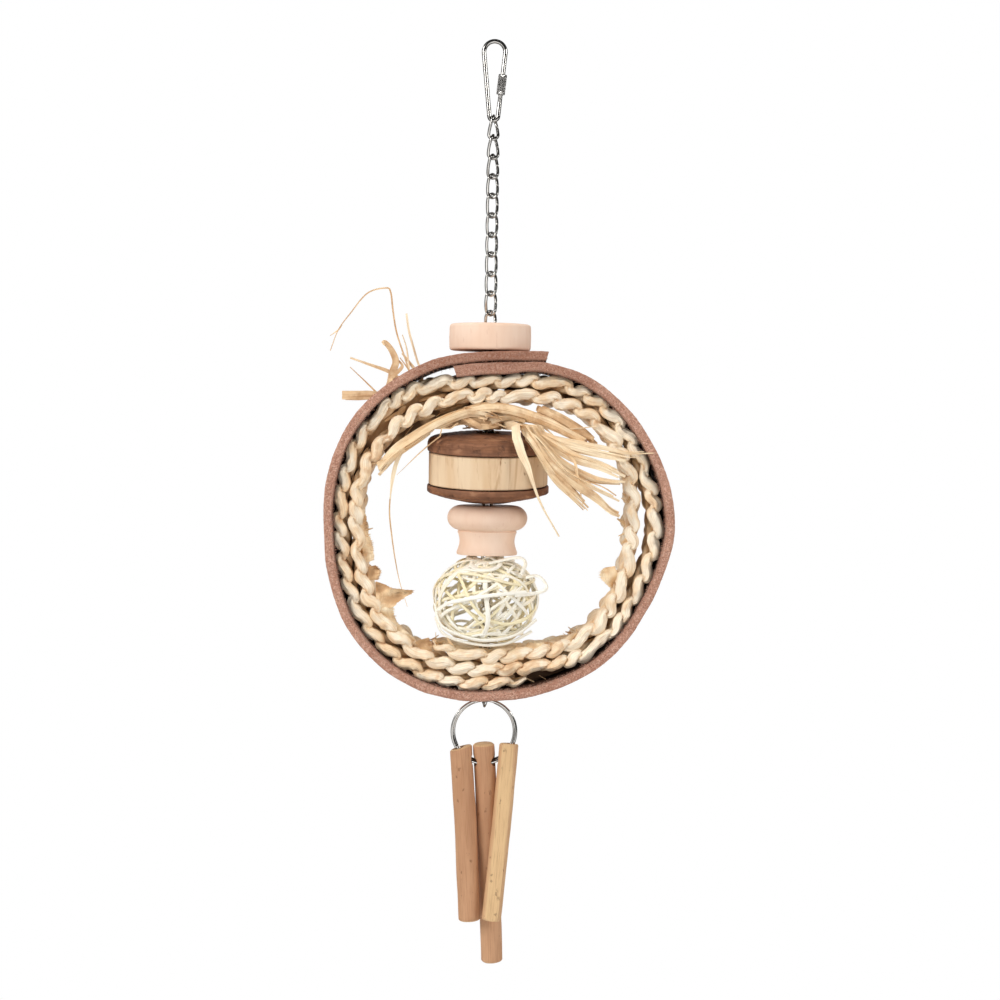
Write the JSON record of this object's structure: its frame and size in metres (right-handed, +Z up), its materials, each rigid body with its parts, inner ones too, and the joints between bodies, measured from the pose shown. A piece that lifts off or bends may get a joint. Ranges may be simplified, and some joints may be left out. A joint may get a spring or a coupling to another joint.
{
  "type": "hanging bird toy",
  "caption": "Hanging bird toy: chain with a leather hoop, plaited leaf coil, turned wood and coconut stack, vine ball, and sticks on a split ring, hung by a quick link.",
  "frame": {"origin": "inside the top of the quick link, where it bears on what it hangs from", "axes": "+Z up along the hanging chain, +Y along the axis of the hoop away from the viewer, +X to the right"},
  "size_m": [0.1487, 0.058, 0.3981],
  "materials": {
    "nickel_wire": "bright nickel plate",
    "pale_wood": "sanded, unfinished",
    "pine_wood": "sanded, unfinished",
    "coconut_shell": "raw, fibrous",
    "raw_leather": "raw cut edge, matte",
    "dried_leaf": "dry, matte",
    "vine_strip": "bleached, matte",
    "peeled_stick": "peeled, matte"
  },
  "bodies": {
    "quick_link": {"quick_link_body": "nickel_wire"},
    "sleeve": {"quick_link_sleeve": "nickel_wire"},
    "link_01": {"chain_link_01": "nickel_wire"},
    "link_02": {"chain_link_02": "nickel_wire"},
    "link_03": {"chain_link_03": "nickel_wire"},
    "link_04": {"chain_link_04": "nickel_wire"},
    "link_05": {"chain_link_05": "nickel_wire"},
    "link_06": {"chain_link_06": "nickel_wire"},
    "link_07": {"chain_link_07": "nickel_wire"},
    "link_08": {"chain_link_08": "nickel_wire"},
    "link_09": {"chain_link_09": "nickel_wire"},
    "link_10": {"chain_link_10": "nickel_wire"},
    "core": {"chain_link_11": "nickel_wire", "chain_link_12": "nickel_wire", "chain_link_13": "nickel_wire", "chain_link_14": "nickel_wire", "chain_link_15": "nickel_wire", "chain_link_16": "nickel_wire", "chain_link_17": "nickel_wire", "chain_link_18": "nickel_wire", "chain_link_19": "nickel_wire", "chain_link_20": "nickel_wire", "chain_link_21": "nickel_wire", "chain_link_22": "nickel_wire", "chain_link_23": "nickel_wire", "chain_link_24": "nickel_wire", "chain_link_25": "nickel_wire", "chain_link_26": "nickel_wire", "chain_link_27": "nickel_wire", "chain_link_28": "nickel_wire", "chain_link_29": "nickel_wire", "chain_link_30": "nickel_wire"},
    "disc": {"top_disc": "pale_wood"},
    "hoop": {"leather_hoop": "raw_leather", "plait_coil": "dried_leaf", "leaf_bow": "dried_leaf", "leaf_tuft": "dried_leaf"},
    "cap": {"coconut_cap": "coconut_shell"},
    "slice": {"wood_slice": "pine_wood"},
    "cup": {"coconut_cup": "coconut_shell"},
    "bead": {"turned_bead": "pale_wood"},
    "ball": {"vine_ball": "vine_strip"},
    "ring": {"split_ring": "nickel_wire"},
    "stick_left": {"stick_left": "peeled_stick"},
    "stick_middle": {"stick_middle": "peeled_stick"},
    "stick_right": {"stick_right": "peeled_stick"}
  },
  "joints": [
    {"name": "sleeve_slide", "type": "slide", "parent": "quick_link", "child": "sleeve", "axis": [-0.0998, 0, -0.995], "range_m": [0, 0.0047]},
    {"name": "link_01_swing", "type": "hinge", "parent": "quick_link", "child": "link_01", "pos_m": [0, 0, -0.03103], "axis": [0, 1, 0], "range_deg": [-24, 24]},
    {"name": "link_02_swing", "type": "hinge", "parent": "link_01", "child": "link_02", "pos_m": [0, 0, -0.04108], "axis": [1, 0, 0], "range_deg": [-24, 24]},
    {"name": "link_03_swing", "type": "hinge", "parent": "link_02", "child": "link_03", "pos_m": [0, 0, -0.04782], "axis": [0.3827, 0.9239, 0], "range_deg": [-24, 24]},
    {"name": "link_04_swing", "type": "hinge", "parent": "link_03", "child": "link_04", "pos_m": [0, 0, -0.05788], "axis": [0.9239, -0.3827, 0], "range_deg": [-24, 24]},
    {"name": "link_05_swing", "type": "hinge", "parent": "link_04", "child": "link_05", "pos_m": [0, 0, -0.06463], "axis": [0.7071, 0.7071, 0], "range_deg": [-24, 24]},
    {"name": "link_06_swing", "type": "hinge", "parent": "link_05", "child": "link_06", "pos_m": [0, 0, -0.07468], "axis": [0.7071, -0.7071, 0], "range_deg": [-24, 24]},
    {"name": "link_07_swing", "type": "hinge", "parent": "link_06", "child": "link_07", "pos_m": [0, 0, -0.08142], "axis": [0.7071, 0.7071, 0], "range_deg": [-24, 24]},
    {"name": "link_08_swing", "type": "hinge", "parent": "link_07", "child": "link_08", "pos_m": [0, 0, -0.09148], "axis": [0.7071, -0.7071, 0], "range_deg": [-24, 24]},
    {"name": "link_09_swing", "type": "hinge", "parent": "link_08", "child": "link_09", "pos_m": [0, 0, -0.09823], "axis": [0.7071, 0.7071, 0], "range_deg": [-24, 24]},
    {"name": "link_10_swing", "type": "hinge", "parent": "link_09", "child": "link_10", "pos_m": [0, 0, -0.10827], "axis": [0.7071, -0.7071, 0], "range_deg": [-24, 24]},
    {"name": "core_swing", "type": "hinge", "parent": "link_10", "child": "core", "pos_m": [0, 0, -0.11503], "axis": [0.7071, 0.7071, 0], "range_deg": [-24, 24]},
    {"name": "disc_spin", "type": "hinge", "parent": "core", "child": "disc", "pos_m": [0, 0, -0.126], "axis": [0, 0, 1], "continuous": true},
    {"name": "hoop_spin", "type": "hinge", "parent": "core", "child": "hoop", "pos_m": [0, 0, -0.20583], "axis": [0, 0, 1], "continuous": true},
    {"name": "cap_spin", "type": "hinge", "parent": "core", "child": "cap", "pos_m": [0, 0, -0.18232], "axis": [0, -0.0872, 0.9962], "continuous": true},
    {"name": "slice_spin", "type": "hinge", "parent": "core", "child": "slice", "pos_m": [0, 0, -0.18232], "axis": [0, -0.0872, 0.9962], "continuous": true},
    {"name": "cup_spin", "type": "hinge", "parent": "core", "child": "cup", "pos_m": [0, 0, -0.18232], "axis": [0, -0.0872, 0.9962], "continuous": true},
    {"name": "bead_spin", "type": "hinge", "parent": "core", "child": "bead", "pos_m": [0, 0, -0.207], "axis": [0, 0, 1], "continuous": true},
    {"name": "ball_spin", "type": "hinge", "parent": "core", "child": "ball", "pos_m": [0, 0, -0.237], "axis": [0, 0, 1], "continuous": true},
    {"name": "ring_swing", "type": "hinge", "parent": "core", "child": "ring", "pos_m": [0, 0, -0.28468], "axis": [0, 1, 0], "range_deg": [-15, 15]},
    {"name": "stick_left_swing", "type": "hinge", "parent": "ring", "child": "stick_left", "pos_m": [-0.0096, 0, -0.30465], "axis": [0.6947, 0, -0.7193], "range_deg": [-15, 0]},
    {"name": "stick_middle_swing", "type": "hinge", "parent": "ring", "child": "stick_middle", "pos_m": [0.00035, 0, -0.30872], "axis": [0.9997, 0, 0.0262], "range_deg": [0, 40]},
    {"name": "stick_right_swing", "type": "hinge", "parent": "ring", "child": "stick_right", "pos_m": [0.01052, 0, -0.3036], "axis": [0.6157, 0, 0.788], "range_deg": [-40, 0]}
  ]
}
